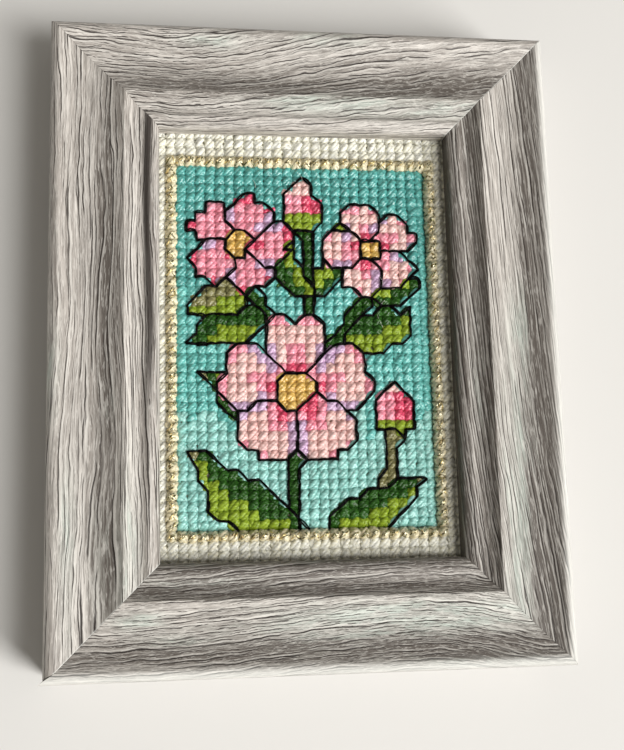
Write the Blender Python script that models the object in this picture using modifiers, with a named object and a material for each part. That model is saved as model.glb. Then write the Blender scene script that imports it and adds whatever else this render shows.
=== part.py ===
"""Cross-stitch picture in a mitred wood frame.

The picture lies on its back: X runs across it, +Y towards its top edge, +Z
out of its face. The origin is at the middle of the back, on the surface
that the frame rests on.
"""

import math

import bmesh
import bpy
from mathutils import Matrix, Vector

MM = 0.001
GAP = 0.3 * MM                       # between pieces that touch

# Stitched cloth, counted in stitches of a 14-count fabric
PITCH = 25.4 * MM / 14
CLOTH_STITCHES = (35, 49)            # across, up
CLOTH_SIZE = [PITCH * count for count in CLOTH_STITCHES]
CLOTH_THICKNESS = 1.7 * MM           # fabric and stitches together
CLOTH_SWELL = 0.12 * MM              # how far the stitching rises and falls
SWELL_WAVES = (2.5, 3.5)             # half waves of that swell across and up
CLOTH_FACES = (14, 20)               # faces of the stitched side, across and up

# Moulding of the frame, seen in section from its outer edge inwards
FRAME_DEPTH = 15.0 * MM
BODY_WIDTH = 15.0 * MM               # outer edge to the side of the rebate
LIP_REACH = 4.75 * MM                # how far the lip covers the rebate
RAIL_WIDTH = BODY_WIDTH + LIP_REACH
RIM_RADIUS = 1.8 * MM                # rounded outer rim
RIDGE_AT = 13.45 * MM                # sharp ridge between the two hollows
SCOOP_DEPTH = 1.45 * MM              # wide hollow between rim and ridge
CREST_AT = 17.55 * MM                # where the lip starts to round over
CREST_DROP = 1.35 * MM               # crest below the rim and the ridge
COVE_DEPTH = 0.95 * MM               # small hollow between ridge and crest
LIP_ROUND_DROP = 1.85 * MM           # height of the rounded part of the lip
CLOTH_DROP = 5.6 * MM                # stitches below the rim
LIP_DROP = CLOTH_DROP - GAP          # underside of the lip below the rim

RIM_STEPS = 8
SCOOP_STEPS = 24
COVE_STEPS = 14
LIP_STEPS = 10
SHARP_ANGLE = math.radians(30)       # edges sharper than this stay crisp

FRAME_SIZE = [side + 2 * (GAP + BODY_WIDTH) for side in CLOTH_SIZE]

# Board behind the cloth
BOARD_SIZE = CLOTH_SIZE
BOARD_THICKNESS = 3.0 * MM
BOARD_EDGE = 0.3 * MM                # eased edge of the board

# Colour, roughness and metallic value of each material
WOOD_FINISH = ("greywashed_wood", (0.50, 0.47, 0.44), 0.62, 0.0)
CLOTH_FINISH = ("stitched_cotton", (0.24, 0.60, 0.55), 0.85, 0.0)
BOARD_FINISH = ("brown_board", (0.33, 0.24, 0.16), 0.80, 0.0)


def clear_scene():
    """Remove every object that the file opened with."""
    for obj in list(bpy.data.objects):
        bpy.data.objects.remove(obj, do_unlink=True)


def make_collection(name):
    """Return a new collection linked to the scene."""
    collection = bpy.data.collections.new(name)
    bpy.context.scene.collection.children.link(collection)
    return collection


def make_material(name, colour, roughness, metallic):
    """Return a Principled material of one colour."""
    material = bpy.data.materials.new(name)
    material.use_nodes = True
    shader = material.node_tree.nodes["Principled BSDF"]
    shader.inputs["Base Color"].default_value = (*colour, 1.0)
    shader.inputs["Roughness"].default_value = roughness
    shader.inputs["Metallic"].default_value = metallic
    return material


def add_object(name, bm, collection, finish):
    """Turn a bmesh into a named object with its own material."""
    bmesh.ops.recalc_face_normals(bm, faces=bm.faces)
    mesh = bpy.data.meshes.new(name)
    bm.to_mesh(mesh)
    bm.free()
    mesh.shade_smooth()
    mesh.set_sharp_from_angle(angle=SHARP_ANGLE)
    obj = bpy.data.objects.new(name, mesh)
    material_name, *values = finish
    obj.data.materials.append(make_material(f"{material_name}_{name}", *values))
    collection.objects.link(obj)
    return obj


def hollow(start, end, depth, steps):
    """Points of a shallow hollow that sags below the line from start to end."""
    points = []
    for step in range(1, steps):
        along = step / steps
        across = start[0] + (end[0] - start[0]) * along
        height = start[1] + (end[1] - start[1]) * along
        points.append((across, height - depth * 4 * along * (1 - along)))
    return points


def quarter(centre, radii, from_angle, to_angle, steps):
    """Points of a quarter of an ellipse, both ends included."""
    points = []
    for step in range(steps + 1):
        angle = math.radians(from_angle + (to_angle - from_angle) * step / steps)
        points.append((centre[0] + radii[0] * math.cos(angle),
                       centre[1] + radii[1] * math.sin(angle)))
    return points


def moulding_outline():
    """Section of the moulding: distance in from the outer edge, and height."""
    rim = quarter((RIM_RADIUS, FRAME_DEPTH - RIM_RADIUS), (RIM_RADIUS, RIM_RADIUS),
                  180, 90, RIM_STEPS)
    ridge = (RIDGE_AT, FRAME_DEPTH)
    crest = (CREST_AT, FRAME_DEPTH - CREST_DROP)
    lip_middle = (CREST_AT, crest[1] - LIP_ROUND_DROP)
    lip = quarter(lip_middle, (RAIL_WIDTH - CREST_AT, LIP_ROUND_DROP), 90, 0, LIP_STEPS)
    outline = [(0.0, 0.0)]
    outline += rim
    outline += hollow(rim[-1], ridge, SCOOP_DEPTH, SCOOP_STEPS)
    outline += [ridge]
    outline += hollow(ridge, crest, COVE_DEPTH, COVE_STEPS)
    outline += lip
    outline += [(RAIL_WIDTH, FRAME_DEPTH - LIP_DROP)]
    outline += [(BODY_WIDTH, FRAME_DEPTH - LIP_DROP)]
    outline += [(BODY_WIDTH, 0.0)]
    return outline


def moulding_stick(length):
    """Extrude the section as a flat curve and return the stick as a bmesh."""
    curve = bpy.data.curves.new("moulding", "CURVE")
    curve.dimensions = "2D"
    curve.fill_mode = "BOTH"
    curve.extrude = length / 2
    outline = moulding_outline()
    spline = curve.splines.new("POLY")
    spline.points.add(len(outline) - 1)
    for point, (across, height) in zip(spline.points, outline):
        point.co = (across, height, 0.0, 1.0)
    spline.use_cyclic_u = True
    guide = bpy.data.objects.new("moulding", curve)
    mesh = bpy.data.meshes.new_from_object(guide)
    bm = bmesh.new()
    bm.from_mesh(mesh)
    bmesh.ops.remove_doubles(bm, verts=bm.verts, dist=0.001 * MM)
    bpy.data.objects.remove(guide)
    bpy.data.curves.remove(curve)
    bpy.data.meshes.remove(mesh)
    return bm


def saw_mitre(bm, length, end):
    """Saw one end of the stick at 45 degrees, half a gap short of the joint."""
    normal = Vector((1.0, 0.0, end)).normalized()
    corner = Vector((0.0, 0.0, end * length / 2))
    geometry = bm.verts[:] + bm.edges[:] + bm.faces[:]
    bmesh.ops.bisect_plane(bm, geom=geometry, plane_co=corner - normal * GAP / 2,
                           plane_no=normal, clear_outer=True)
    open_edges = [edge for edge in bm.edges if edge.is_boundary]
    bmesh.ops.holes_fill(bm, edges=open_edges)


def make_rail(name, length, reach, turn, collection):
    """Cut one rail and lay it along its side of the frame.

    reach is how far the rail's outer edge is from the middle of the frame,
    and turn is the side that it lies on, in degrees from the bottom edge.
    """
    bm = moulding_stick(length)
    for end in (1, -1):
        saw_mitre(bm, length, end)
    lay_along_x = Matrix(((0, 0, 1, 0), (1, 0, 0, -reach), (0, 1, 0, 0), (0, 0, 0, 1)))
    side = Matrix.Rotation(math.radians(turn), 4, "Z")
    bmesh.ops.transform(bm, matrix=side @ lay_along_x, verts=bm.verts)
    return add_object(name, bm, collection, WOOD_FINISH)


def make_frame(collection):
    """Make the four mitred rails."""
    width, height = FRAME_SIZE
    make_rail("frame_rail_bottom", width, height / 2, 0, collection)
    make_rail("frame_rail_right", height, width / 2, 90, collection)
    make_rail("frame_rail_top", width, height / 2, 180, collection)
    make_rail("frame_rail_left", height, width / 2, 270, collection)


def swell_at(x, y):
    """Rise of the stitched side above its lowest level, from 0 to twice CLOTH_SWELL."""
    across = math.cos(math.pi * SWELL_WAVES[0] * x / CLOTH_SIZE[0])
    up = math.sin(math.pi * SWELL_WAVES[1] * y / CLOTH_SIZE[1])
    inside = (1 - (2 * x / CLOTH_SIZE[0]) ** 2) * (1 - (2 * y / CLOTH_SIZE[1]) ** 2)
    return CLOTH_SWELL * inside * (1 + across * up)


def make_cloth(collection):
    """Make the stitched cloth: flat behind, softly uneven on the stitched side."""
    top = FRAME_DEPTH - CLOTH_DROP
    bm = bmesh.new()
    bmesh.ops.create_grid(bm, x_segments=CLOTH_FACES[0], y_segments=CLOTH_FACES[1], size=0.5)
    bmesh.ops.scale(bm, vec=(*CLOTH_SIZE, 1.0), verts=bm.verts)
    for vert in bm.verts:
        vert.co.z = top + swell_at(vert.co.x, vert.co.y)
    sheet = bmesh.ops.extrude_face_region(bm, geom=bm.faces[:])
    for item in sheet["geom"]:
        if isinstance(item, bmesh.types.BMVert):
            item.co.z = top - CLOTH_THICKNESS
    return add_object("stitched_cloth", bm, collection, CLOTH_FINISH)


def make_board(collection):
    """Make the plain board that backs the cloth in the rebate."""
    top = FRAME_DEPTH - CLOTH_DROP - CLOTH_THICKNESS - GAP
    bm = bmesh.new()
    bmesh.ops.create_cube(bm, size=1.0)
    bmesh.ops.scale(bm, vec=(*BOARD_SIZE, BOARD_THICKNESS), verts=bm.verts)
    bmesh.ops.translate(bm, vec=(0, 0, top - BOARD_THICKNESS / 2), verts=bm.verts)
    board = add_object("backing_board", bm, collection, BOARD_FINISH)
    bevel = board.modifiers.new("eased_edges", "BEVEL")
    bevel.width = BOARD_EDGE
    bevel.segments = 1
    return board


def main():
    clear_scene()
    collection = make_collection("framed_cross_stitch_picture")
    make_frame(collection)
    make_cloth(collection)
    make_board(collection)


main()
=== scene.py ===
# %% [markdown]
# # A small cross-stitch picture in a grey-washed frame
# The real thing is a card-sized piece of even-weave cotton, covered in counted cross
# stitches, and held flat behind the lip of a mitred wooden frame. This lesson dresses
# the plain solids of that picture: it carves a finer moulding, lays the grain on it,
# weaves the cloth, and then makes every single stitch from plump strands of thread.
#
# The solids come packed in a frame that must not be moved, so everything below is
# measured from it. Lengths are in metres, and MM turns millimetres into metres.

import math

import bmesh
import bpy
import numpy as np
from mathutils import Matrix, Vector


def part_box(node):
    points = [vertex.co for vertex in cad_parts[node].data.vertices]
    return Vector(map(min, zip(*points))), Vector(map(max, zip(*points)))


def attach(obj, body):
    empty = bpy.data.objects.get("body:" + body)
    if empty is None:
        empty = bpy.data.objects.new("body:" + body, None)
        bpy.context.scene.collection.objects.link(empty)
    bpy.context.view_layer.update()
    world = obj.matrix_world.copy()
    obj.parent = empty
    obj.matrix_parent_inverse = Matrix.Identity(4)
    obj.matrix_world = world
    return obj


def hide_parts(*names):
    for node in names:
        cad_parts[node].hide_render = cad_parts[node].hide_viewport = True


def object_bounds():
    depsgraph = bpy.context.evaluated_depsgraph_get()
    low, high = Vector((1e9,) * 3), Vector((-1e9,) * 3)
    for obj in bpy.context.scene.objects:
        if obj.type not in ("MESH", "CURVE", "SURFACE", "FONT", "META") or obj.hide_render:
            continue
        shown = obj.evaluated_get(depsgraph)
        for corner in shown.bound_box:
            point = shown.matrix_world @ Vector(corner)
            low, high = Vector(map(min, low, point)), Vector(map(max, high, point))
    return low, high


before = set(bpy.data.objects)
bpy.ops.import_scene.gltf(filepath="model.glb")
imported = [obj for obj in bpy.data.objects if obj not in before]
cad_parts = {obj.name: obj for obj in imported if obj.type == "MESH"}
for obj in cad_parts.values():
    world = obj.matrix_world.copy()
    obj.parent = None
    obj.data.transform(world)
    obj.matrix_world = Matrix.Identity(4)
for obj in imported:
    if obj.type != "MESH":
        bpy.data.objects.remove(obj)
solid_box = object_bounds()

MM = 0.001
FRAME_WIDTH, FRAME_HEIGHT, FRAME_DEPTH = (high - low for low, high in zip(*solid_box))
CLOTH_LOW, CLOTH_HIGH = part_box("stitched_cloth")
print("frame, mm:", [round(side / MM, 2) for side in (FRAME_WIDTH, FRAME_HEIGHT, FRAME_DEPTH)])

# %% [markdown]
# ## The camera
# The photograph was taken by hand from just below and to the left of the middle,
# looking almost straight down. The place and the turn of the camera were fitted to the
# corners of the frame and of the stitched field, so they are given as plain numbers.
# The lens follows from the picture's long side of 750 pixels and a focal length of
# 1119 pixels, on a sensor of 36 mm.

# %% Camera
PHOTO_LONG_SIDE = 750
FOCAL_PIXELS = 1119
SENSOR_WIDTH = 36.0                    # mm, on the long side of the picture
CAMERA_PLACE = (-0.02784, -0.03973, 0.21203)
CAMERA_TURN = (9.516, -7.774, -1.42)   # degrees about X, Y and Z
NEAREST_SEEN = 10 * MM

camera_data = bpy.data.cameras.new("camera")
camera_data.sensor_width = SENSOR_WIDTH
camera_data.lens = FOCAL_PIXELS / PHOTO_LONG_SIDE * SENSOR_WIDTH
camera_data.clip_start = NEAREST_SEEN
camera = bpy.data.objects.new("camera", camera_data)
camera.location = CAMERA_PLACE
camera.rotation_euler = [math.radians(angle) for angle in CAMERA_TURN]
bpy.context.scene.collection.objects.link(camera)
bpy.context.scene.camera = camera
print("lens, mm:", round(camera_data.lens, 2))

# %% [markdown]
# ## Small helpers for materials
# A material is a little network of nodes. Writing it out takes many lines that only
# make a node, set a number and draw a link, so one helper does all three: an input
# that is given another node's socket is linked, and any other input is set. The rest
# give the few kinds of node that every finish here needs a short name.

# %% Material helpers
def add_node(tree, kind, inputs=None, **settings):
    """Add a node to a tree, with its settings and its inputs."""
    node = tree.nodes.new(kind)
    for name, value in settings.items():
        setattr(node, name, value)
    for name, value in (inputs or {}).items():
        if isinstance(value, bpy.types.NodeSocket):
            tree.links.new(value, node.inputs[name])
        else:
            node.inputs[name].default_value = value
    return node


def calculate(tree, operation, *values):
    """Socket with the result of one sum."""
    return add_node(tree, "ShaderNodeMath", dict(enumerate(values)), operation=operation).outputs[0]


def scale(tree, value, factor, plus=0.0):
    """Socket with a value times a factor, and something added."""
    return calculate(tree, "MULTIPLY_ADD", value, factor, plus)


def ramp(tree, value, low, high, to_low=0.0, to_high=1.0):
    """Socket that goes smoothly from to_low to to_high as value passes low and high."""
    inputs = {"Value": value, "From Min": low, "From Max": high,
              "To Min": to_low, "To Max": to_high}
    node = add_node(tree, "ShaderNodeMapRange", inputs, interpolation_type="SMOOTHSTEP")
    return node.outputs["Result"]


def split(tree, vector):
    """Sockets with the three numbers of a vector."""
    return add_node(tree, "ShaderNodeSeparateXYZ", {0: vector}).outputs


def join(tree, x=0.0, y=0.0, z=0.0):
    """Socket with a vector of three numbers."""
    return add_node(tree, "ShaderNodeCombineXYZ", {0: x, 1: y, 2: z}).outputs[0]


def move(tree, vector, x=0.0, y=0.0, z=0.0):
    """Socket with a vector that is moved along each axis."""
    inputs = {0: vector, 1: join(tree, x, y, z)}
    return add_node(tree, "ShaderNodeVectorMath", inputs, operation="ADD").outputs[0]


def blend_colours(tree, share, first, second):
    """Socket with two colours mixed."""
    inputs = {0: share, 6: first, 7: second}
    return add_node(tree, "ShaderNodeMix", inputs, data_type="RGBA").outputs[2]


def noise(tree, vector, stretch, detail=2.0, roughness=0.5, output=0):
    """Socket with cloudy noise, its pattern stretched by one factor for each axis."""
    scaled = add_node(tree, "ShaderNodeVectorMath", {0: vector, 1: stretch},
                      operation="MULTIPLY").outputs[0]
    inputs = {"Vector": scaled, "Scale": 1.0, "Detail": detail, "Roughness": roughness}
    return add_node(tree, "ShaderNodeTexNoise", inputs).outputs[output]


def photo_colour(red, green, blue):
    """Colour seen on a screen, from 0 to 255, as the linear colour that shaders use."""
    linear = []
    for value in (red, green, blue):
        share = value / 255
        linear.append(share / 12.92 if share <= 0.04045 else ((share + 0.055) / 1.055) ** 2.4)
    return (*linear, 1.0)


def new_material(name, roughness):
    """Material with its shader, and the tree that they are in."""
    material = bpy.data.materials.new(name)
    material.use_nodes = True
    tree = material.node_tree
    shader = tree.nodes["Principled BSDF"]
    shader.inputs["Roughness"].default_value = roughness
    return material, tree, shader


def finish_surface(tree, shader, colour, height, depth):
    """Give a shader its colour, and a relief of some depth in metres."""
    tree.links.new(colour, shader.inputs["Base Color"])
    bump = add_node(tree, "ShaderNodeBump", {"Height": height, "Distance": depth})
    tree.links.new(bump.outputs[0], shader.inputs["Normal"])

# %% [markdown]
# ## Meshes from arrays
# The frame and the stitches are meshes worked out as arrays of numbers. That is quick,
# it keeps thousands of stitches in a few objects, and every point knows where it is on
# its own rail or thread, which the materials use later.

# %% Mesh helpers
def add_piece(name, points, quads, material):
    """Make a smooth mesh object of four-sided faces, and let it ride with the picture."""
    mesh = bpy.data.meshes.new(name)
    mesh.from_pydata(np.asarray(points).reshape(-1, 3).tolist(), [], np.asarray(quads).tolist())
    mesh.shade_smooth()
    mesh.materials.append(material)
    piece = bpy.data.objects.new(name, mesh)
    bpy.context.scene.collection.objects.link(piece)
    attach(piece, "root")
    return piece


def tube_walls(rings, sides):
    """Faces between the rings of points of a tube."""
    ring, place = np.meshgrid(np.arange(rings - 1), np.arange(sides), indexing="ij")
    beside = (place + 1) % sides
    return np.stack([ring * sides + place, (ring + 1) * sides + place,
                     (ring + 1) * sides + beside, ring * sides + beside], -1).reshape(-1, 4)


def store_on_points(piece, name, values):
    """Keep one number, or one vector given as three arrays, for each point of a mesh."""
    if isinstance(values, list):
        values = np.stack(values, -1).reshape(-1, 3)
    values = np.asarray(values, np.float32)
    kind, key = ("FLOAT_VECTOR", "vector") if values.ndim == 2 else ("FLOAT", "value")
    layer = piece.data.attributes.new(name, kind, "POINT")
    layer.data.foreach_set(key, values.ravel())


def read_attribute(tree, name, output="Vector"):
    """Socket with a value that was kept on the mesh."""
    return add_node(tree, "ShaderNodeAttribute", attribute_name=name).outputs[output]


def smooth_step(values, low, high):
    """0 below low, 1 above high, and a soft rise between them."""
    share = np.clip((values - low) / (high - low), 0, 1)
    return share * share * (3 - 2 * share)

# %% [markdown]
# ## The grey-washed wood
# The moulding is wrapped in a print of weathered boards: a pinkish grey wash, long thin
# dark lines with a light edge, short dashes, fine fibres, and pale green patches. Every
# point of a rail holds where it is on the unrolled print, in millimetres, as "grain":
# along the rail, across it, and a third number that differs from rail to rail.
#
# The print is ruled into rows. Each row holds one line, which noise moves up and down,
# widens and breaks off. Rows keep the lines apart and nearly parallel, as real grain is,
# where plain noise would curl. Three sets of rows, wide to narrow, make the long lines,
# the middling ones and the dashes.

# %% Rows of grain lines
ROW_JUMP = 7.31                        # takes each row to noise of its own
LINE_WANDER = 1.5                      # rows that a line moves up and down in
BREAK_SOFTNESS = 0.12                  # how gently a line starts and ends
LINE_WIDTHS = (0.5, 1.6)               # thinnest and thickest stretch, in half widths
CORE_SHARE = 0.25                      # share of a line that is fully dark
EDGE_AT, EDGE_REACH = 2.2, 1.6         # the light edge beside a line, in half widths
SLOW_BENDS, SLOW_PUSH = (0.22, 0.30, 1.0), 0.8         # noise that bends lines, and mm
QUICK_BENDS, QUICK_PUSH = (1.0, 0.9, 1.0), 0.15


def grain_lines(tree, grain, spacing, length, half_width, gate, seed):
    """Sockets with the dark lines of one set of rows, and the light edges beside them."""
    along, across, part = split(tree, grain)
    ruled = scale(tree, across, 1 / spacing, seed)
    row = calculate(tree, "FLOOR", ruled)
    place = join(tree, along, row, calculate(tree, "ADD", part, seed))
    clouds = noise(tree, place, (1 / length, ROW_JUMP, 1.0), 3.0, 0.6, "Color")
    shift, strength, breadth = split(tree, clouds)
    middle = scale(tree, shift, LINE_WANDER, (1 - LINE_WANDER) / 2)
    in_row = calculate(tree, "SUBTRACT", calculate(tree, "FRACT", ruled), middle)
    away = scale(tree, in_row, spacing)
    strength = ramp(tree, strength, gate, gate + BREAK_SOFTNESS)
    thin, thick = (half_width * share for share in LINE_WIDTHS)
    width = scale(tree, strength, ramp(tree, breadth, 0.3, 0.7, thin, thick))
    core = scale(tree, width, CORE_SHARE)
    line = ramp(tree, calculate(tree, "ABSOLUTE", away), width, core)
    from_edge = calculate(tree, "SUBTRACT", away, half_width * EDGE_AT)
    edge = ramp(tree, calculate(tree, "ABSOLUTE", from_edge), half_width * EDGE_REACH, 0.0)
    return scale(tree, strength, line), scale(tree, strength, edge)


def unsteady(tree, grain):
    """The place on the print, pushed about a little so that lines wrinkle as wood does."""
    slow = noise(tree, grain, SLOW_BENDS, detail=1.0)
    quick = noise(tree, grain, QUICK_BENDS, detail=2.0)
    return move(tree, grain, y=scale(tree, slow, SLOW_PUSH, scale(tree, quick, QUICK_PUSH)))

# %% [markdown]
# ## Where the print differs
# Three numbers at each point of a rail say how the print differs there: how many dashes,
# how much pale green, and how much painted shade lies where a slope or the lip faces away
# from the window. Three more say where it is stained or has painted shade at its lip,
# where it is bare, and where it is chipped or has a painted highlight on its rim. The
# print itself is built up in layers, from broad streaks to fine flecks, and a table holds
# how fine each one is.

# %% Colours and layers of the print
WASH_LIGHT = photo_colour(226, 220, 213)
WASH_MIDDLE = photo_colour(188, 181, 174)
WASH_DARK = photo_colour(100, 93, 87)
WASH_GREEN = photo_colour(208, 218, 208)
EDGE_LIGHT = photo_colour(236, 232, 225)
LINE_BROWN = photo_colour(44, 36, 31)
BARE_BOARD = photo_colour(150, 118, 84)
# pale chips, and the painted highlight on the rims of the lower and right rails
CHIP_AND_HIGHLIGHT_WHITE = photo_colour(236, 237, 232)

MOST_SHADE = 0.80                      # share of the dark wash where nothing lightens it
FIBRE_LIGHT, BAND_LIGHT = 0.40, 0.45   # what a fibre and a band take off
# painted shade: how much a spot of it darkens the wash
PAINTED_SHADE_STRENGTH = 0.70                      # what a dark spot adds
FLECK_SHARE = 0.38
DASH_STRENGTHS = (0.55, 1.4)           # of the short lines, outside and inside a dashed spot
FIBRE_HEIGHT = 0.4                     # of the depth of a line
GRAIN_BUMP = 0.05 * MM                 # depth of the lines

# spacing, length and half width in mm, level of the noise at which a line starts, seed,
# darkness, and how light the edge beside the line is
LONG_LINES = (2.0, 20.0, 0.15, 0.44, 3.0, 1.0, 0.5)
MIDDLING_LINES = (0.95, 9.0, 0.115, 0.44, 17.0, 0.92, 0.36)
SHORT_LINES = (0.52, 3.0, 0.085, 0.45, 29.0, 0.78, 0.34)

# how fine the noise is along and across the rail, its detail and roughness, and the two
# levels between which the layer comes in
PRINT_LAYERS = {
    "streak": (0.035, 0.75, 3.0, 0.6, 0.36, 0.64),
    "band": (0.09, 1.9, 4.0, 0.65, 0.36, 0.64),
    "fibre": (0.45, 4.5, 3.0, 0.7, 0.36, 0.64),
    "fleck": (0.9, 3.6, 2.0, 0.6, 0.54, 0.66),
    "patch": (0.16, 0.55, 2.0, 0.5, 0.40, 0.56),
    "speckle": (2.5, 2.5, 4.0, 0.7, 0.3, 0.7),
}
print("layers of the print:", ", ".join(PRINT_LAYERS))

# %% [markdown]
# ## Printing the wood
# The layers go on as in a print: first the wash with its tints and its painted shade,
# then the lines from the finest to the longest, each with its light edge, and last the
# stains with the painted shade at the lips, and the chips with the painted highlight on
# the rims. The back and the inside of the rails were never wrapped, so there the brown
# board shows.

# %% Wood finish
def print_layer(tree, grain, name, weakest=0.0, strongest=1.0):
    """Socket with one layer of the print."""
    along, across, detail, roughness, low, high = PRINT_LAYERS[name]
    clouds = noise(tree, grain, (along, across, 1.0), detail, roughness)
    return ramp(tree, clouds, low, high, weakest, strongest)


def make_wood():
    """Grey-washed print with lines, dashes, fibres and tints, and painted shade and highlight."""
    material, tree, shader = new_material("greywashed_wood", 0.46)
    grain = unsteady(tree, read_attribute(tree, "grain"))
    # the third number is painted shade, where a slope or the lip faces away from the window
    dashes, green, painted_dark = split(tree, read_attribute(tree, "print_and_painted_shade"))
    # a stain with painted lip shade, bare board, and chips with a painted rim highlight
    stain_and_shade, bare, chip_and_highlight = split(tree, read_attribute(tree, "wear_and_painted_light"))
    streak, band, fibre, fleck = (print_layer(tree, grain, name)
                                  for name in ("streak", "band", "fibre", "fleck"))

    wash = blend_colours(tree, streak, WASH_MIDDLE, WASH_LIGHT)
    green = scale(tree, green, print_layer(tree, grain, "patch", weakest=0.4))
    wash = blend_colours(tree, green, wash, WASH_GREEN)
    shade = scale(tree, band, -BAND_LIGHT, scale(tree, fibre, -FIBRE_LIGHT, MOST_SHADE))
    # the print's own dark bands, with the painted shade spots on top
    wash = blend_colours(tree, scale(tree, painted_dark, PAINTED_SHADE_STRENGTH, shade), wash, WASH_DARK)
    wash = blend_colours(tree, scale(tree, fleck, FLECK_SHARE), wash, EDGE_LIGHT)
    height = scale(tree, fibre, FIBRE_HEIGHT)
    for kind in (SHORT_LINES, MIDDLING_LINES, LONG_LINES):
        *layout, darkness, edge_light = kind
        line, edge = grain_lines(tree, grain, *layout)
        if kind is SHORT_LINES:
            line = scale(tree, line, ramp(tree, dashes, 0.0, 1.0, *DASH_STRENGTHS))
        wash = blend_colours(tree, scale(tree, edge, edge_light), wash, EDGE_LIGHT)
        wash = blend_colours(tree, scale(tree, line, darkness), wash, LINE_BROWN)
        height = scale(tree, line, -darkness, height)
    # the left rail's stain, and painted shade at the lips of the lower and right rails
    stained_and_shaded = scale(tree, stain_and_shade, ramp(tree, streak, 0.0, 0.5, 0.6, 1.0))
    wash = blend_colours(tree, stained_and_shaded, wash, LINE_BROWN)
    # chips, and a painted highlight on the rims of the lower and right rails
    wash = blend_colours(tree, chip_and_highlight, wash, CHIP_AND_HIGHLIGHT_WHITE)
    speckle = print_layer(tree, grain, "speckle", strongest=0.5)
    wash = blend_colours(tree, bare, wash, blend_colours(tree, speckle, BARE_BOARD, LINE_BROWN))
    finish_surface(tree, shader, wash, height, GRAIN_BUMP)
    return material


wood = make_wood()
print("nodes in the wood finish:", len(wood.node_tree.nodes))

# %% [markdown]
# ## The moulding
# One length of moulding is sawn into four rails at 45 degrees. Seen in section from its
# outer edge inwards it has a rounded rim, a wide shallow hollow, a crisp ridge, a small
# cove, and a lip that rounds over towards the cloth. The section here is the one of the
# solids, with more points, and with the mitres closed to a hairline.

# %% Section of the moulding
BODY_WIDTH = 15.0 * MM                 # outer edge to the side of the rebate
RAIL_WIDTH = 19.75 * MM                # outer edge to the edge of the lip
RIM_RADIUS = 1.8 * MM
RIDGE_AT = 13.45 * MM
SCOOP_DEPTH = 1.45 * MM
CREST_AT = 17.55 * MM
CREST_DROP = 1.35 * MM
COVE_DEPTH = 0.95 * MM
LIP_ROUND_DROP = 1.85 * MM
LIP_DROP = 5.3 * MM                    # underside of the lip below the rim
SIDE_STEPS, RIM_STEPS, SCOOP_STEPS, COVE_STEPS, LIP_STEPS = 20, 12, 44, 24, 14
LIP_EDGE_STEPS, LIP_BACK_STEPS, BODY_STEPS = 8, 4, 6


def straight(start, end, steps):
    """Points on a straight run, without its last one."""
    share = np.arange(steps)[:, None] / steps
    return np.array(start) * (1 - share) + np.array(end) * share


def hollow(start, end, depth, steps):
    """Points of a shallow hollow that sags below the line from start to end."""
    points = straight(start, end, steps)
    share = np.arange(steps) / steps
    points[:, 1] -= depth * 4 * share * (1 - share)
    return points


def quarter(centre, radii, from_angle, to_angle, steps):
    """Points of a quarter of an ellipse, without its last one."""
    angle = np.radians(from_angle + (to_angle - from_angle) * np.arange(steps) / steps)
    return np.array(centre) + np.array(radii) * np.stack([np.cos(angle), np.sin(angle)], 1)


def moulding_section():
    """Closed section: distance in from the outer edge, and height above the back."""
    top = FRAME_DEPTH
    crest = (CREST_AT, top - CREST_DROP)
    lip_middle = (CREST_AT, crest[1] - LIP_ROUND_DROP)
    lip_low = (RAIL_WIDTH, top - LIP_DROP)
    lip_radii = (RAIL_WIDTH - CREST_AT, LIP_ROUND_DROP)
    rim_middle = (RIM_RADIUS, top - RIM_RADIUS)
    wrapped = np.concatenate([
        straight((0, 0), (0, rim_middle[1]), SIDE_STEPS),
        quarter(rim_middle, (RIM_RADIUS, RIM_RADIUS), 180, 90, RIM_STEPS),
        hollow((RIM_RADIUS, top), (RIDGE_AT, top), SCOOP_DEPTH, SCOOP_STEPS),
        hollow((RIDGE_AT, top), crest, COVE_DEPTH, COVE_STEPS),
        quarter(lip_middle, lip_radii, 90, 0, LIP_STEPS),
        straight((RAIL_WIDTH, lip_middle[1]), lip_low, LIP_EDGE_STEPS),
    ])
    plain = np.concatenate([
        straight(lip_low, (BODY_WIDTH, lip_low[1]), LIP_BACK_STEPS),
        straight((BODY_WIDTH, lip_low[1]), (BODY_WIDTH, 0), BODY_STEPS),
        straight((BODY_WIDTH, 0), (0, 0), BODY_STEPS),
    ])
    return np.concatenate([wrapped, plain]), len(wrapped)


section, wrapped_points = moulding_section()
section_run = np.concatenate([[0], np.cumsum(np.hypot(*np.diff(section, axis=0).T))])
from_rim = section_run - (FRAME_DEPTH - RIM_RADIUS)    # along the print, 0 where the rim starts
print("points in the section:", len(section), "- printed front, mm:",
      round(from_rim[wrapped_points] / MM, 1))

# %% [markdown]
# ## Where the grain runs
# The moulding was sawn in order, so at two of the four mitres the lines run round the
# corner and meet, and at the other two they don't. Distances along a rail are therefore
# measured from the corner where its grain meets its neighbour's. Each rail bends its
# lines in its own way: the upper and lower ones sweep in broad arches, the left one
# parts round a long eye, and the right one leans a little. Each function takes
# millimetres along the rail and across the print, and gives how many millimetres the
# lines move out towards the rim there.

# %% Bends of the grain
def sweep_top(along, across):
    """Lines lean in a little at first, then sweep out towards the rim."""
    arch = 4.0 * smooth_step(along, 24, 62) * smooth_step(across, 24, 0)
    return arch + 0.10 * np.maximum(along - 24, 0) - 0.05 * np.minimum(along, 30)


def sweep_bottom(along, across):
    """Lines swing in near the corner, and back out along the rest of the rail."""
    swing = 4.6 * smooth_step(along, 2, 27) * (1 - across / 40)
    return 4.0 * smooth_step(along, 28, 82) - swing


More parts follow.
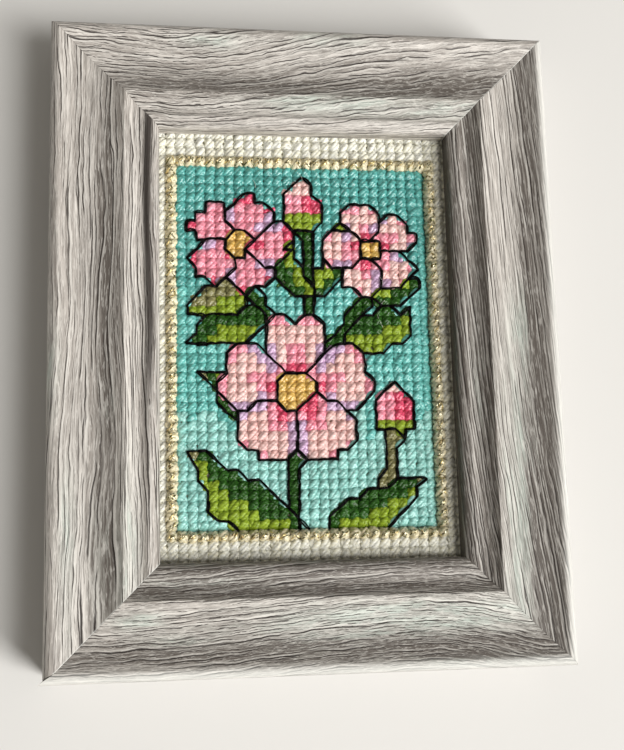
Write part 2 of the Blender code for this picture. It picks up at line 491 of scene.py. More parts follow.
def sweep_left(along, across):
    """Lines part round a long eye far from the corner, and ripple."""
    parting = 1 - 2 * smooth_step(across, 5, 16)
    ripple = 0.25 * np.sin(along / 6 + across / 2.5)
    return 1.4 * parting * smooth_step(along, 50, 92) + ripple


def sweep_right(along, across):
    """Lines lean in, and a little less past the middle of the rail."""
    return -0.13 * np.minimum(along, 45) - 0.07 * np.maximum(along - 45, 0)

# %% [markdown]
# ## Patches on each rail
# Soft spots set where the print turns green, where painted shade darkens a slope or a lip
# wall that faces away from the window, and how far the print breaks into dashes. Each
# spot is a place along and across the rail, and its half sizes.

# %% Soft spots
def spots(along, across, places):
    """Sum of soft spots, each given as along, across, half length and half width in mm."""
    total = np.zeros(along.shape)
    for middle, level, length, width in places:
        total += np.exp(-((along - middle) / length) ** 2 - ((across - level) / width) ** 2)
    return np.minimum(total, 1)


GREEN_SPOTS = {
    "top_rail": [(64, 16.5, 22, 2.2), (30, 4, 6, 1.5), (44, 16, 5, 1.5), (52, 3, 6, 1.5)],
    "bottom_rail": [(36, 9.5, 24, 4.0), (21, 11.5, 13, 2.2), (16, 3, 14, 1.2),
                    (78, 11.5, 4, 1.5), (66, 18, 12, 1.5), (72, 8, 5, 1.0)],
    "left_rail": [(66, 1.5, 8, 1.5), (98, 16, 14, 2.0), (98, 5, 12, 1.5),
                  (70, 12, 6, 1.0), (100, 11, 12, 1.5)],
    "right_rail": [(34, 9, 18, 2.5), (20, 11.2, 26, 2.4), (52, 17, 12, 2.0),
                   (62, 8, 8, 2.0), (8, 12, 8, 3.0)],
}
DASHED_SPOTS = {
    "top_rail": [(18, 6, 22, 12), (24, 19, 16, 3)],
    "bottom_rail": [(46, 10, 60, 10)],
    "left_rail": [(60, 20, 60, 3)],
    "right_rail": [(20, 20, 20, 4)],
}
# spots of painted shade, where a slope or the lip's wall faces away from the window
PAINTED_SHADE_SPOTS = {
    "top_rail": [(40, 13, 30, 2.5), (80, 11, 20, 3)],
    "bottom_rail": [(12, 4.5, 16, 2.0), (50, 5.5, 60, 2.6), (50, 16.8, 80, 1.6), (50, 21, 80, 2.5)],
    "left_rail": [(60, 11.5, 60, 2.2)],
    "right_rail": [(60, 5.2, 200, 2.4), (60, 16.5, 200, 1.8), (20, 6.5, 30, 3), (60, 21.5, 200, 3)],
}

# %% [markdown]
# ## The print on a rail
# The finish needs three vectors on each point. "grain" says where on the print the point
# is, and the other two how the print differs there. A dark stain runs by the lip of the
# left rail. The lips of the lower and the right rail, which face away from the window, get
# painted shade at their edge, and their rims, which face it, a painted highlight. Pale
# chips show as a hairline at the open mitres.

# %% Lay the grain
FIRST_PAIR = ("top_rail", "left_rail")           # the grain meets at their corner
SECOND_PAIR = ("bottom_rail", "right_rail")
PAIR_APART = 31.0                      # the second pair takes another part of the print
DRIFT, DRIFT_RUN = 1.4, (2, 45)        # the print changes on the way from the corner, mm
LIP_STAIN = 19.9                       # mm of print to the left rail's stain
STAIN_WAVE, WAVE_RUN = 0.30, 7         # mm that it wavers by, and over what run
STAIN_HALF_WIDTH = 0.85                # mm
STAIN_RUN = (92, 55)                   # mm from the corner; the stain grows between them
# the lower and the right rail's lip edge gets painted shade over this run of print
SHADED_LIP_RUN = (21.4, 22.8)                # mm of print over which the lip's edge gets dark
# the painted highlight on the rims of the lower and the right rail: its middle and half width
RIM_MIDDLE, RIM_HIGHLIGHT_WIDTH = 1.5, 1.2        # mm of print to the rim's middle, and its half width
HAIRLINE = 0.28                        # mm of pale chipped edge at the open mitres
# the stain and the chips are the print's own; the lip shade and the rim highlight are painted
STAIN, PAINTED_LIP_SHADE, CHIPPED, PAINTED_RIM_HIGHLIGHT = 0.95, 0.85, 0.8, 0.6           # how strongly each shows


def stain_and_lip_shade(name, from_corner, across):
    """How dark a rail's lip is: a stain on the left rail, painted shade on the lower and right."""
    if name == "left_rail":
        level = LIP_STAIN + STAIN_WAVE * np.sin(from_corner / WAVE_RUN)
        line = STAIN * np.exp(-((across - level) / STAIN_HALF_WIDTH) ** 4)
        return line * smooth_step(from_corner, *STAIN_RUN)
    # the lips of the lower and the right rail face away from the window: painted shade
    if name in SECOND_PAIR:
        return PAINTED_LIP_SHADE * smooth_step(across, *SHADED_LIP_RUN)
    return np.zeros(across.shape)


def chips_and_rim_highlight(name, across, to_open_mitre):
    """How pale a rail is: chipped at its open mitre, or with a painted highlight along its rim."""
    if name in FIRST_PAIR:
        return CHIPPED * smooth_step(to_open_mitre, HAIRLINE, 0)
    # the rims of the lower and the right rail face the window: painted highlight
    return PAINTED_RIM_HIGHLIGHT * np.exp(-((across - RIM_MIDDLE) / RIM_HIGHLIGHT_WIDTH) ** 2)


def lay_grain(piece, along, across, length, meets, sweep, stretch):
    """Keep on each point where it is on the print, and how the print differs there."""
    name = piece.name
    from_corner = (length / 2 - meets * along) / MM
    to_open_mitre = (length / 2 + meets * along) / MM - section[:, 0] / MM
    across = np.broadcast_to(across / MM, along.shape)
    part = meets * DRIFT * smooth_step(from_corner, *DRIFT_RUN) + PAIR_APART * (name in SECOND_PAIR)
    bare = np.broadcast_to(np.arange(len(section)) > wrapped_points, along.shape).astype(float)
    spot_tables = (DASHED_SPOTS, GREEN_SPOTS, PAINTED_SHADE_SPOTS)
    store_on_points(piece, "grain", [from_corner * stretch, across + sweep(from_corner, across), part])
    # dashes, pale green, and painted shade
    store_on_points(piece, "print_and_painted_shade", [spots(from_corner, across, table[name]) for table in spot_tables])
    # stain and painted lip shade, bare board, and chips and painted rim highlight
    store_on_points(piece, "wear_and_painted_light", [stain_and_lip_shade(name, from_corner, across), bare,
                                    chips_and_rim_highlight(name, across, to_open_mitre)])

# %% [markdown]
# ## The four rails
# The section is swept along each side. Every ring of points is cut off at 45 degrees
# by making it shorter the further in it lies. One corner isn't perfect: the lower
# rail's rim sticks out a little past the left rail, which is cut back to let it.

# %% Sweep the rails
MITRE_GAP = 0.04 * MM                  # joint at each corner
POINT_SPACING = 0.8 * MM               # along a rail
END_CROWDING = 1.35                    # higher puts more of the points near the ends
PROUD_TIP = 0.85 * MM                  # lower rail past the left rail, at the rim
TIPS = {"bottom_rail": PROUD_TIP, "left_rail": -PROUD_TIP}
TIP_REACH, TIP_RUN = 2.4 * MM, 6 * MM  # how far in and how far along the odd corner reaches
TIP_HEIGHTS = (10 * MM, 13 * MM)       # it comes in between these heights

# name, length of the outer edge, distance of that edge from the middle, turn from the
# bottom, end where its grain meets the next rail's (1 is its far end), sweep, grain length
RAILS = [
    ("bottom_rail", FRAME_WIDTH, FRAME_HEIGHT / 2, 0, 1, sweep_bottom, 1.0),
    ("right_rail", FRAME_HEIGHT, FRAME_WIDTH / 2, 90, -1, sweep_right, 0.4),
    ("top_rail", FRAME_WIDTH, FRAME_HEIGHT / 2, 180, 1, sweep_top, 1.0),
    ("left_rail", FRAME_HEIGHT, FRAME_WIDTH / 2, 270, -1, sweep_left, 0.5),
]


def make_rail(name, length, reach, turn, meets, sweep, stretch):
    """Sweep the section along one side of the frame, cut at 45 degrees at both ends."""
    count = int(length / POINT_SPACING)
    share = np.sin(np.linspace(-1, 1, count) * END_CROWDING) / math.sin(END_CROWDING)
    inset, height = section.T
    half = length / 2 - inset - MITRE_GAP / 2
    along = share[:, None] * half
    tip = TIPS.get(name, 0) * smooth_step(inset, TIP_REACH, 0) * smooth_step(height, *TIP_HEIGHTS)
    along = along - meets * tip * smooth_step(-meets * along, half - TIP_RUN, half)
    out = inset - reach
    angle = math.radians(turn)
    points = np.stack([along * math.cos(angle) - out * math.sin(angle),
                       along * math.sin(angle) + out * math.cos(angle),
                       np.broadcast_to(height, along.shape)], -1)
    piece = add_piece(name, points, tube_walls(count, len(section)), wood)
    lay_grain(piece, along, from_rim, length, meets, sweep, stretch)
    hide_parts("frame_rail_" + name.split("_")[0])
    return piece


rails = [make_rail(*row) for row in RAILS]
print("faces in the rails:", sum(len(rail.data.polygons) for rail in rails))

# %% [markdown]
# ## Closing the sawn ends
# A swept tube is open at both ends. Each open end gets one face, so that every rail is
# a closed body, and edges that are sharper than 35 degrees are kept crisp.

# %% Close the sawn ends
SHARP_ANGLE = math.radians(35)


def close_ends(piece):
    """Put one face on each open end of a rail."""
    mesh = piece.data
    bm = bmesh.new()
    bm.from_mesh(mesh)
    bmesh.ops.holes_fill(bm, edges=[edge for edge in bm.edges if edge.is_boundary])
    bmesh.ops.recalc_face_normals(bm, faces=bm.faces)
    bm.to_mesh(mesh)
    bm.free()
    mesh.set_sharp_from_angle(angle=SHARP_ANGLE)


for rail in rails:
    close_ends(rail)
print("faces in the rails, with their ends:", sum(len(rail.data.polygons) for rail in rails))

# %% [markdown]
# ## The cloth under the stitches
# The ground is a cotton woven in small square blocks, fourteen to the inch, with a
# hole at every corner of every block. The field is the part inside the gold line. The
# cloth is pulled a little wide, and the field sits a little off the frame's middle.

# %% Sizes of the cloth
CLOTH_WIDTH, CLOTH_HEIGHT = CLOTH_HIGH.x - CLOTH_LOW.x, CLOTH_HIGH.y - CLOTH_LOW.y
CLOTH_COUNT = (35, 49)                 # blocks across and up
PITCH = np.array([1.011, 0.992]) * CLOTH_WIDTH / CLOTH_COUNT[0]  # pulled a little wide
FIELD = (26, 38)                       # blocks inside the gold line
FIELD_SHIFT = np.array([-0.41, -0.22]) * MM             # from the middle of the frame
FIELD_LOW = FIELD_SHIFT - np.array(FIELD) * PITCH / 2
FABRIC_TOP = 8.6 * MM                  # face of the woven blocks
HOLE_DEPTH = 0.30 * MM
BLOCK_CROWN = 0.06 * MM
LEAST_CLOTH = 0.1 * MM                 # thickness that the cloth keeps everywhere
STEPS_PER_BLOCK = 3
SWELL = 0.12 * MM                      # the stitched face rises and falls a little
SWELL_WAVES = (2.5, 3.5)
GROOVE_DEPTH = 0.82 * MM
GROOVE_INSIDE = 0.14                   # blocks from the edge of the field
GROOVE_HALF_WIDTH = 0.38               # blocks
CORNER_FADE, END_FADE = 0.7, 0.3       # blocks past the shared corner and the far ends
THREAD_FINENESS = (5200.0, 5200.0, 400.0)
THREAD_BUMP = 0.04 * MM
print("stitch pitch, mm:", np.round(PITCH / MM, 3))

# %% [markdown]
# ## Swell and groove
# Stitched cloth is never quite flat, so its face swells softly. The tight gold line,
# which comes later, pulls it into a groove just inside the field, on the right and
# below. Both are functions of the place, because the stitches have to follow them too.

# %% Swell and groove
def to_blocks(x, y):
    """Places on the cloth, in blocks from the lower left corner of the field."""
    return (x - FIELD_LOW[0]) / PITCH[0], (y - FIELD_LOW[1]) / PITCH[1]


def groove_at(u, v):
    """Groove beside the gold line, from 0 to 1, at places in blocks."""
    right = np.exp(-((u - FIELD[0] + GROOVE_INSIDE) / GROOVE_HALF_WIDTH) ** 2)
    right = right * smooth_step(v, -CORNER_FADE, 0) * smooth_step(-v, -FIELD[1] - END_FADE, -FIELD[1])
    lower = np.exp(-((v - GROOVE_INSIDE) / GROOVE_HALF_WIDTH) ** 2)
    lower = lower * smooth_step(-u, -FIELD[0] - CORNER_FADE, -FIELD[0]) * smooth_step(u, -END_FADE, 0)
    return np.maximum(right, lower)


def swell_at(x, y):
    """Rise of the stitched face: the soft swell of the solid cloth, less the groove."""
    across = np.cos(math.pi * SWELL_WAVES[0] * x / CLOTH_WIDTH)
    up = np.sin(math.pi * SWELL_WAVES[1] * y / CLOTH_HEIGHT)
    inside_edges = (1 - (2 * x / CLOTH_WIDTH) ** 2) * (1 - (2 * y / CLOTH_HEIGHT) ** 2)
    groove = groove_at(*to_blocks(x, y))
    return SWELL * inside_edges * (1 + across * up) - GROOVE_DEPTH * groove

# %% [markdown]
# ## Weaving the cloth
# The stitches hide nearly all of the weave, so it only needs the right blocks and holes.
# It is a closed sheet: a grid for its face, a copy of the grid for its back, and a strip
# of faces round its edge.

# %% Woven cloth
def make_cloth(material):
    """Sheet of even weave with a dip at every hole."""
    columns, rows = (count * STEPS_PER_BLOCK + 1 for count in CLOTH_COUNT)
    x, y = np.meshgrid(np.linspace(CLOTH_LOW.x, CLOTH_HIGH.x, columns),
                       np.linspace(CLOTH_LOW.y, CLOTH_HIGH.y, rows))
    u, v = to_blocks(x, y)
    hole = (np.cos(2 * math.pi * u) + 1) * (np.cos(2 * math.pi * v) + 1) / 4
    block = np.abs(np.sin(math.pi * u) * np.sin(math.pi * v))
    top = FABRIC_TOP + swell_at(x, y) - HOLE_DEPTH * hole ** 3 + BLOCK_CROWN * block
    face = np.stack([x, y, np.maximum(top, CLOTH_LOW.z + LEAST_CLOTH)], -1).reshape(-1, 3)
    back = face.copy()
    back[:, 2] = CLOTH_LOW.z
    total = rows * columns
    place = np.arange(total).reshape(rows, columns)
    corners = [place[:-1, :-1], place[:-1, 1:], place[1:, 1:], place[1:, :-1]]
    faces = np.stack(corners, -1).reshape(-1, 4)
    rim = np.concatenate([place[0, :-1], place[:-1, -1], place[-1, :0:-1], place[:0:-1, 0]])
    after = np.roll(rim, -1)
    edge = np.stack([rim, rim + total, after + total, after], -1)
    quads = np.concatenate([faces, faces[:, ::-1] + total, edge])
    points = np.concatenate([face, back])
    return add_piece("even_weave_cloth", points, quads, material)


def make_weave():
    """Cream cotton, with painted shade where its bump is low, between its threads."""
    material, tree, shader = new_material("even_weave", 0.85)
    place = add_node(tree, "ShaderNodeTexCoord").outputs["Object"]
    threads = noise(tree, place, THREAD_FINENESS)
    # the same noise lowers the bump and darkens the colour: painted shade between threads
    colour = blend_colours(tree, threads, photo_colour(206, 198, 172), photo_colour(236, 229, 206))
    finish_surface(tree, shader, colour, threads, THREAD_BUMP)
    return material


cloth = make_cloth(make_weave())
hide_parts("stitched_cloth")
print("faces in the cloth:", len(cloth.data.polygons))

# %% [markdown]
# ## Drawing the chart
# A counted picture starts as a chart. Shapes are drawn here as smooth curves, measured
# in stitches from the lower left corner of the field. Backstitch can only go from
# hole to hole, so each outline becomes a row of short stitches, each along one side or
# one diagonal of a block, that keep close to the curve. A slight ripple takes the
# evenness out of the curve first. What the outline then encloses is filled with thread,
# and the shading inside it changes between whole crosses.

# %% Outlines that go from hole to hole
LONGEST_STITCH = 1.5                   # blocks; just over one diagonal
CLOSENESS = 0.40                       # how far a straight stitch may leave the curve
LOOK_AHEAD = 9                         # holes that are tried for the end of a stitch
RIPPLE = 0.12                          # blocks; no edge that is drawn by hand runs smooth
RIPPLE_TURNS, RIPPLE_START = (1.9, 2.3), (0.4, 1.7)


def to_holes(curve, closed=True):
    """Holes that a backstitched line goes through to follow a curve."""
    curve = curve + RIPPLE * np.sin(curve[:, ::-1] * RIPPLE_TURNS + RIPPLE_START)
    if closed:
        curve = np.vstack([curve, curve[:1]])
    holes = np.round(curve)
    miss = np.hypot(*(curve - holes).T)
    changes = np.flatnonzero(np.any(np.diff(holes, axis=0) != 0, axis=1)) + 1
    stops = [group[miss[group].argmin()] for group in np.split(np.arange(len(curve)), changes)]
    stops = [stop for stop in stops if miss[stop] < 0.5]
    chosen = [0]
    while chosen[-1] < len(stops) - 1:
        first, best = stops[chosen[-1]], chosen[-1] + 1
        for candidate in range(best + 1, min(best + LOOK_AHEAD, len(stops))):
            last = stops[candidate]
            step = holes[last] - holes[first]
            length = math.hypot(*step)
            if length == 0 or length > LONGEST_STITCH:
                continue
            away = curve[first:last + 1] - holes[first]
            if (np.abs(away[:, 0] * step[1] - away[:, 1] * step[0]) / length).max() <= CLOSENESS:
                best = candidate
        chosen.append(best)
    path = [tuple(holes[stops[place]]) for place in chosen]
    path = [hole for place, hole in enumerate(path) if place == 0 or hole != path[place - 1]]
    if closed and path[0] == path[-1]:
        path = path[:-1]
    return np.array(path)


def is_inside(points, outline):
    """Which points lie inside a closed outline."""
    x, y = points[..., 0], points[..., 1]
    result = np.zeros(x.shape, bool)
    for (x1, y1), (x2, y2) in zip(np.roll(outline, 1, axis=0), outline):
        if y1 != y2:
            crosses = (y1 > y) != (y2 > y)
            result ^= crosses & (x < (x2 - x1) * (y - y1) / (y2 - y1) + x1)
    return result


def block_middles(points):
    """Middle of the block that each point is in."""
    return np.floor(points) + 0.5

# %% [markdown]
# ## The threads
# Each thread has one colour, chosen to match the look of the piece in the photograph:
# three sea greens behind, pinks, raspberry and lilac for the flowers, gold for their
# hearts, three greens for the leaves, and two creams round the picture.

# %% Thread colours
THREAD_COLOURS = {
    "teal": (82, 172, 165),
    "sea_green": (102, 190, 182),
    "aqua": (150, 210, 201),
    "salmon": (250, 198, 192),
    "pink": (250, 148, 168),
    "raspberry": (226, 48, 100),
    "lilac": (205, 170, 204),
    "dark_green": (32, 80, 3),
    "lime": (138, 162, 3),
    "olive": (126, 122, 74),
    "golden": (222, 180, 80),
    "cream": (248, 243, 222),
    "border_cream": (230, 219, 184),
}
DULL_THREADS = {"dark_green": 0.55, "lime": 0.3, "olive": 0.7}      # share of the usual shine
THREADS = {name: number for number, name in enumerate(THREAD_COLOURS)}
print("threads:", ", ".join(THREADS))

# %% [markdown]
# ## Leaves and stems
# Every shape of the picture is the same small record: its outline in backstitches, the
# lines inside it, and a function that says which thread a point gets. A stem is an even
# strip along a curve. A leaf is a strip that swells and comes to a point, with one
# thread on each side of its rib, so its shading follows its bend.

# %% Leaves and stems
LEAF_TIP = 0.90                        # of the leaf's length, where its olive tip starts
LEAF_POWER = 0.8                       # lower makes fuller leaves


def curve_between(start, bend, end, steps=40):
    """Points on a smooth curve that is pulled towards bend."""
    share = np.linspace(0, 1, steps)[:, None]
    return ((1 - share) ** 2 * np.array(start) + 2 * share * (1 - share) * np.array(bend)
            + share ** 2 * np.array(end))


def left_of(steps):
    """Unit vectors to the left of some steps."""
    return np.stack([-steps[:, 1], steps[:, 0]], 1) / np.hypot(*steps.T)[:, None]


def strip_outline(rib, half_width):
    """Outline of a strip of changing width along a curve, in backstitches."""
    across = left_of(np.gradient(rib, axis=0)) * half_width[:, None]
    return to_holes(np.vstack([rib + across, (rib - across)[::-1]]))


def stem(start, bend, end, width=1.5, thread="dark_green"):
    """Even stem in one thread."""
    rib = curve_between(start, bend, end)
    outline = strip_outline(rib, np.full(len(rib), width / 2))

    def paint(points):
        return np.full(points.shape[:-1], THREADS[thread])
    return {"outline": outline, "lines": [], "paint": paint}


def leaf(start, end, bend, width, right="dark_green", left="lime"):
    """Pointed leaf, one thread on each side of its rib and an olive tip."""
    start, end = np.array(start, float), np.array(end, float)
    along = (end - start) / np.hypot(*(end - start))
    middle = (start + end) / 2 + np.array([-along[1], along[0]]) * bend
    rib = curve_between(start, middle, end)
    share = np.linspace(0, 1, len(rib))
    outline = strip_outline(rib, width / 2 * np.sin(math.pi * share ** LEAF_POWER) ** LEAF_POWER)
    across = left_of(np.gradient(rib, axis=0))

    def paint(points):
        points = block_middles(points)
        away = points[..., None, :] - rib
        nearest = np.hypot(away[..., 0], away[..., 1]).argmin(-1)
        side = ((points - rib[nearest]) * across[nearest]).sum(-1)
        colour = np.where(side > 0, THREADS[left], THREADS[right])
        colour[nearest > LEAF_TIP * len(rib)] = THREADS["olive"]
        return colour
    return {"outline": outline, "lines": [], "paint": paint}

# %% [markdown]
# ## Blossoms and buds
# An open blossom is one closed curve round its middle, drawn in between its petals and
# notched at their tips. Its heart is a small circle, and a backstitched line runs from
# the heart to the outline between two petals. The shading goes by two numbers: the
# distance from the middle, and how near a point is to the middle line of its petal. A
# bud is a plump leaf shape, shaded by the distance from its base.

# %% Blossoms and buds
PETALS = 5
BETWEEN_PETALS, PETAL_REACH = 0.58, 0.42         # of the radius
TIP_NOTCH, NOTCH_FROM = 0.10, 0.93     # notch of a petal's tip, and where it starts
PETAL_POWER, BUD_POWER = 0.45, 0.7     # lower makes fuller petals and buds

# Shares of the radius at which the thread changes: between two petals, and how much more
# on the middle line of a petal
EDGE_FROM, PINK_TO, RASPBERRY_TO = (0.80, 0.10), (0.36, 0.22), (0.25, 0.14)
FOLD_LOBE, FOLD_FROM = 0.42, 0.42      # how near to the middle line lilac comes, and to the heart
BUD_TIP_FROM, BUD_CUP_TO = 0.80, 0.34  # shares of a bud's length


def nearest_hole(holes, place):
    """The hole of an outline that is nearest to a place."""
    return holes[np.hypot(*(holes - place).T).argmin()]


def blossom(centre, radius, turn, heart_radius, petal_thread="salmon", edge_thread="pink"):
    """Open flower of five notched petals around a golden heart."""
    centre, turn = np.array(centre, float), math.radians(turn)

    def lobe_at(angle):
        """1 on the middle line of a petal, and 0 between two petals."""
        return np.abs(np.cos(PETALS / 2 * (angle - turn)))
    angle = np.linspace(0, 2 * math.pi, 240, endpoint=False)
    way = np.stack([np.cos(angle), np.sin(angle)], 1)
    lobe = lobe_at(angle)
    notch = TIP_NOTCH * smooth_step(lobe, NOTCH_FROM, 1.0)
    reach = BETWEEN_PETALS + PETAL_REACH * lobe ** PETAL_POWER - notch
    outline = to_holes(centre + way * (radius * reach)[:, None])
    heart = to_holes(centre + way * heart_radius)
    lines = [np.vstack([heart, heart[:1]])]
    for petal in range(PETALS):
        between = turn + (petal + 0.5) * 2 * math.pi / PETALS
        out = np.array([math.cos(between), math.sin(between)])
        inner = nearest_hole(heart, centre + out * heart_radius)
        outer = nearest_hole(outline, centre + out * radius * BETWEEN_PETALS)
        lines.append(to_holes(np.linspace(inner, outer, 30), closed=False))

    def paint(points):
        away = block_middles(points) - centre
        share = np.hypot(away[..., 0], away[..., 1]) / radius
        lobe = lobe_at(np.arctan2(away[..., 1], away[..., 0]))
        colour = np.full(share.shape, THREADS[petal_thread])
        colour[share > EDGE_FROM[0] + EDGE_FROM[1] * lobe] = THREADS[edge_thread]
        colour[(lobe < FOLD_LOBE) & (share > FOLD_FROM)] = THREADS["lilac"]
        colour[share < PINK_TO[0] + PINK_TO[1] * lobe ** 2] = THREADS["pink"]
        colour[share < RASPBERRY_TO[0] + RASPBERRY_TO[1] * lobe ** 3] = THREADS["raspberry"]
        colour[is_inside(points, heart)] = THREADS["golden"]
        return colour
    return {"outline": outline, "lines": lines, "paint": paint}


def bud(base, length, width, turn):
    """Closed bud: two pinks with a pale tip above a lime cup."""
    base, turn = np.array(base, float), math.radians(turn)
    along = np.array([math.cos(turn), math.sin(turn)])
    share = np.linspace(0, 1, 30)
    rib = base + along * (share * length)[:, None]
    outline = strip_outline(rib, width / 2 * np.sin(math.pi * share ** BUD_POWER) ** BUD_POWER)
    left = np.array([-along[1], along[0]])

    def paint(points):
        away = block_middles(points) - base
        far, off = away @ along, away @ left
        colour = np.where(off > 0.1, THREADS["pink"], THREADS["raspberry"])
        colour[far > BUD_TIP_FROM * length] = THREADS["salmon"]
        colour[far < BUD_CUP_TO * length] = THREADS["lime"]
        return colour
    return {"outline": outline, "lines": [], "paint": paint}

# %% [markdown]
# ## The picture
# Three open blossoms and two buds on curved stems, with paired leaves, fill the field.
# Later shapes lie over earlier ones, in their colours and in their outlines.

# %% Shapes of the picture
SHAPES = [
    stem((12, -1), (11, 4), (12, 9)),
    stem((13, 18), (9, 21), (7, 26)),
    stem((14, 18), (18.5, 20), (20, 26)),
    stem((13.2, 20), (14.2, 26), (13, 31)),
    stem((20.3, -1), (20.8, 4), (22.2, 10), width=1.4, thread="olive"),
    leaf((10, 9), (2.4, 16.2), -1.4, 4.8, "lime", "dark_green"),
    leaf((12, 0), (1.4, 8.2), 2.6, 5.0),
    leaf((14.6, 0.4), (24.6, 5.4), -2.4, 4.4, "lime", "dark_green"),
    leaf((9, 21.5), (1.4, 18.6), -1.6, 4.4),
    leaf((17, 20.0), (24.6, 22.6), -1.8, 4.4, "lime", "dark_green"),
    leaf((14, 24), (18, 33.5), -1.6, 3.2),
    leaf((13.5, 23.5), (10.2, 32), 1.4, 3.0, "lime", "dark_green"),
    leaf((7.4, 25.2), (0.9, 22.6), 1.0, 3.4, "olive", "lime"),
    leaf((19.4, 24.2), (25.2, 26.4), -1.2, 3.2),
    bud((13, 30.6), 6.0, 4.6, 92),
    bud((22.0, 9.4), 5.6, 4.4, 90),
    blossom((6.4, 29.6), 5.6, 70, 1.3, "pink", "raspberry"),
    blossom((20.0, 29.0), 5.2, 105, 1.3),
    blossom((12.0, 14.0), 8.2, 90, 1.9),
]
TEAL_FROM, SEA_GREEN_FROM = 25, 11     # rows where the ground changes thread
EDGE_CREAM = {"left": 2, "right": 3, "bottom": 3, "top": 4}

# The quarters of a block, in this order: upper left, upper right, lower left, lower right
QUARTER_CORNERS = np.array([(0, 1), (1, 1), (0, 0), (1, 0)])
QUARTER_OFF = 0.27                     # blocks from a block's middle to where a quarter is looked at


def shore(cells):
    """How many rows the edges between the ground's threads wander up or down."""
    return 1.3 * np.sin(cells[:, 0] * 1.7 + 0.4) + np.sin(cells[:, 0] * 0.63 + cells[:, 1])


def chart():
    """Lower left hole of every stitch, and the threads of its four quarters."""
    columns = np.arange(-1 - EDGE_CREAM["left"], FIELD[0] + 1 + EDGE_CREAM["right"])
    rows = np.arange(-1 - EDGE_CREAM["bottom"], FIELD[1] + 1 + EDGE_CREAM["top"])
    cells = np.stack(np.meshgrid(columns, rows), -1).reshape(-1, 2)
    points = cells[:, None, :] + 0.5 + (2 * QUARTER_CORNERS - 1) * QUARTER_OFF
    height = (cells[:, 1] + shore(cells))[:, None] + np.zeros(4)
    colour = np.where(height > SEA_GREEN_FROM, THREADS["sea_green"], THREADS["aqua"])
    colour[height > TEAL_FROM] = THREADS["teal"]
    for shape in SHAPES:
        hit = is_inside(points, shape["outline"])
        colour[hit] = shape["paint"](points)[hit]
    beyond = np.maximum(np.maximum(-cells, cells - np.array(FIELD) + 1), 0).max(1)
    colour[beyond == 1] = THREADS["border_cream"]
    colour[beyond > 1] = THREADS["cream"]
    return cells, colour


cells, quarter_threads = chart()
print("crosses:", len(cells))

# %% [markdown]
# ## One strand, many times
# Every leg of a cross is two strands of cotton, side by side. A strand leaves a hole,
# rises over the cloth, and goes down through the next hole. All strands of one thread
# are swept together: their middle lines, widths and heights are arrays, and a flattened
# round section is set along all of them at once.

# %% Sweep many strands at once
def sweep_strands(lines, widths, heights, sides):
    """Points, faces, and distance run on the thread of tubes along many lines.

    lines is strands x rings x 3, and widths and heights are half sizes at each ring.
    """
    count, rings = lines.shape[:2]
    ahead = np.gradient(lines, axis=1)
    ahead /= np.linalg.norm(ahead, axis=2, keepdims=True)
    side = np.cross(ahead, (0.0, 0.0, 1.0))
    side /= np.linalg.norm(side, axis=2, keepdims=True)
    up = np.cross(side, ahead)
    turn = 2 * math.pi * np.arange(sides) / sides
    points = (lines[:, :, None] + (widths[:, :, None] * np.cos(turn))[..., None] * side[:, :, None]
              + (heights[:, :, None] * np.sin(turn))[..., None] * up[:, :, None])
    fan = np.array([(0, place, place + 1, place + 2) for place in range(1, sides - 2, 2)])
    one = np.concatenate([tube_walls(rings, sides), fan, fan[:, ::-1] + (rings - 1) * sides])
    quads = one[None] + (np.arange(count) * rings * sides)[:, None, None]
    steps = np.diff(lines, axis=1, prepend=lines[:, :1])
    run = np.cumsum(np.linalg.norm(steps, axis=2), axis=1)
    return points.reshape(-1, 3), quads.reshape(-1, 4), run


def add_strands(name, lines, widths, heights, sides, material, shade):
    """One object with many strands. Its points know where on their thread they are."""
    points, quads, run = sweep_strands(lines, widths, heights, sides)
    piece = add_piece(name, points, quads, material)
    around = np.broadcast_to(2 * math.pi * np.arange(sides) / sides, (*lines.shape[:2], sides))
    run = np.broadcast_to(run[:, :, None] / MM, around.shape)
    shade = np.broadcast_to(shade[:, None, None], around.shape)
    store_on_points(piece, "thread_around", [np.cos(around), np.sin(around), run])
    store_on_points(piece, "thread_shade", shade.ravel())
    return piece

# %% [markdown]
# ## Cotton
# Stranded cotton has a soft shine, two plies that turn round each other, and fibres
# along them, the brightest with a painted highlight. The plies are a slanting wave: the
# angle round the strand plus the distance along it, with painted light on their ridges
# and painted shade in their grooves. Each strand also has a slightly different shade,
# and the pale end of each thread's colour holds a painted whitish glint. Light spreads
# further inside a pale thread, which hides its shadows, and the shine shows most on a
# middling colour, so both are worked out from the colour.

# %% Cotton finish
PLY_LENGTH = 1.5                       # mm for one turn of a ply
PLY_RELIEF = 0.045 * MM
LIGHT_REACH = 0.5 * MM                 # how far light spreads inside the thread
# how strongly the painted highlight on the brightest fibres shows
GLINT_SHARE = 0.45                      # how much the brightest fibres stand out
FIBRE_RUN = 0.25                       # fibres change this slowly along the strand
FIBRE_FINENESS = (5.0, 5.0, 5.0)
SHADE_JUMP = 37.0                      # takes each strand to noise of its own
LEAST_SHINE, MIDDLING_SHINE = 0.33, 3.8
# the painted highlight on the fibres comes in between these levels
GLINT_LEVELS = (0.56, 0.74)             # levels of the fibres at which bright ones show

# From the dark to the pale end of a thread's colour: where it starts, and how far a ply
# (painted light on its ridges, painted shade in its grooves), a fibre and the strand's own
# shade take it
LIGHT_START, PLY_PAINTED_SHADING, FIBRE_LIGHTNESS, SHADE_LIGHT = -0.3, 0.16, 1.1, 0.55


